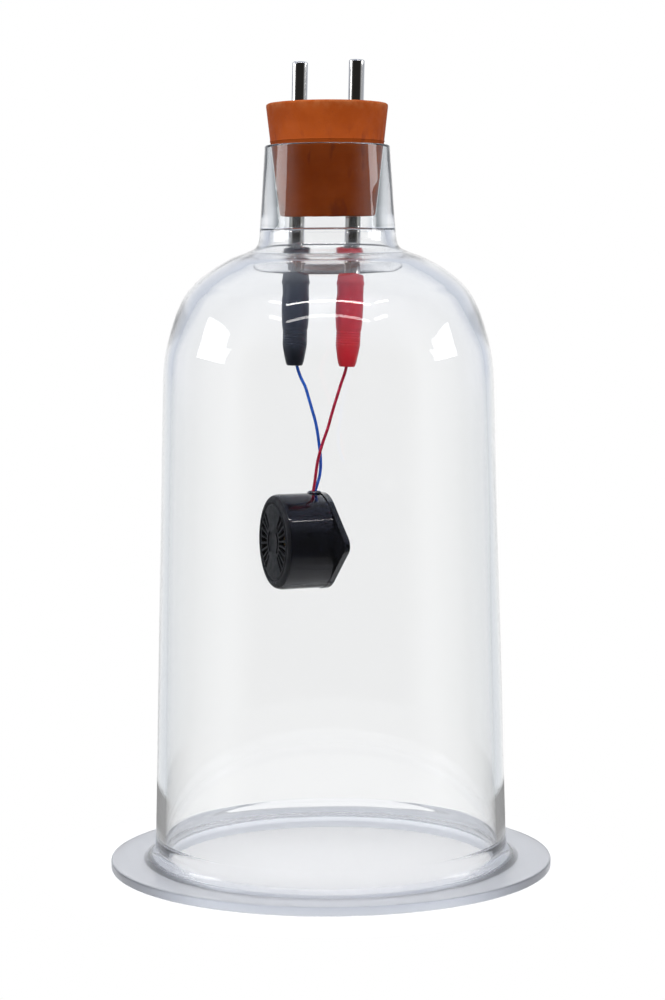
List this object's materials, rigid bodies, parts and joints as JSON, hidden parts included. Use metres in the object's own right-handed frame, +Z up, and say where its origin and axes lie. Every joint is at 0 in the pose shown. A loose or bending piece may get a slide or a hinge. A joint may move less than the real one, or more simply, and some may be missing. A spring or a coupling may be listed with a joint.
{
  "type": "bell jar with electric buzzer",
  "caption": "Clear flanged bell jar whose rubber stopper carries terminal rods, crocodile clips and a buzzer hung on leads, for showing that sound needs air.",
  "frame": {"origin": "centre of the underside of the jar's flange, on the jar's axis", "axes": "+Z up along the jar's axis towards the terminal rods; +X from the black clip towards the red clip; -Y is the front, towards which the buzzer's face turns"},
  "size_m": [0.141, 0.141, 0.2558],
  "materials": {
    "clear_acrylic": "clear, polished",
    "orange_rubber": "matte orange-brown",
    "bright_nickel": "bright nickel plate",
    "clip_steel": "nickel-plated sheet",
    "spring_steel": "bare spring wire",
    "black_pvc": "soft moulded PVC",
    "red_pvc": "soft moulded PVC",
    "blue_insulation": "smooth PVC insulation",
    "red_insulation": "smooth PVC insulation",
    "black_case": "glossy moulded ABS",
    "diaphragm_brass": "plain brass sheet",
    "piezo_ceramic": "silvered ceramic",
    "silicone": "cured sealant",
    "circuit_board": "resin-bonded paper",
    "black_resin": "moulded epoxy",
    "coil_copper": "enamelled copper wire"
  },
  "bodies": {
    "jar": {"bell_jar": "clear_acrylic"},
    "stopper": {"rubber_stopper": "orange_rubber", "terminal_rod_left": "bright_nickel", "terminal_rod_right": "bright_nickel", "clip_left_fixed_jaw": "clip_steel", "clip_left_pivot_pin": "clip_steel", "clip_left_spring": "spring_steel", "clip_left_boot": "black_pvc", "clip_right_fixed_jaw": "clip_steel", "clip_right_pivot_pin": "clip_steel", "clip_right_spring": "spring_steel", "clip_right_boot": "red_pvc"},
    "clip_left_jaw": {"clip_left_moving_jaw": "clip_steel"},
    "clip_right_jaw": {"clip_right_moving_jaw": "clip_steel"},
    "leads": {"lead_wire_blue": "blue_insulation", "lead_wire_red": "red_insulation"},
    "buzzer": {"buzzer_case": "black_case", "buzzer_gasket_ring": "silicone", "buzzer_piezo_plate": "diaphragm_brass", "buzzer_piezo_ceramic": "piezo_ceramic", "buzzer_circuit_board": "circuit_board", "buzzer_transistor": "black_resin", "buzzer_coil": "coil_copper", "buzzer_resistor": "piezo_ceramic", "buzzer_back_cover": "black_resin", "buzzer_lead_seal": "silicone"}
  },
  "joints": [
    {"name": "stopper_lift", "type": "slide", "parent": "jar", "child": "stopper", "axis": [0, 0, 1], "range_m": [0, 0.06]},
    {"name": "clip_left_open", "type": "hinge", "parent": "stopper", "child": "clip_left_jaw", "pos_m": [-0.01031, 0, 0.1833], "axis": [0.9998, 0, -0.0195], "range_deg": [0, 10], "stiffness_Nm_per_rad": 0.02, "springref_deg": -34.38, "deforming": ["clip_left_spring"]},
    {"name": "clip_right_open", "type": "hinge", "parent": "stopper", "child": "clip_right_jaw", "pos_m": [0.00693, 0, 0.18281], "axis": [0.9989, 0, -0.0471], "range_deg": [0, 10], "stiffness_Nm_per_rad": 0.02, "springref_deg": -34.38, "deforming": ["clip_right_spring"]},
    {"name": "buzzer_swing", "type": "hinge", "parent": "stopper", "child": "leads", "pos_m": [-0.0021, -0.0005, 0.1598], "axis": [1, 0, 0], "range_deg": [-20, 20]},
    {"name": "buzzer_turn", "type": "hinge", "parent": "leads", "child": "buzzer", "pos_m": [-0.0049, 0.0016, 0.119], "axis": [0, 0, 1], "range_deg": [-25, 25], "stiffness_Nm_per_rad": 0.0001}
  ]
}
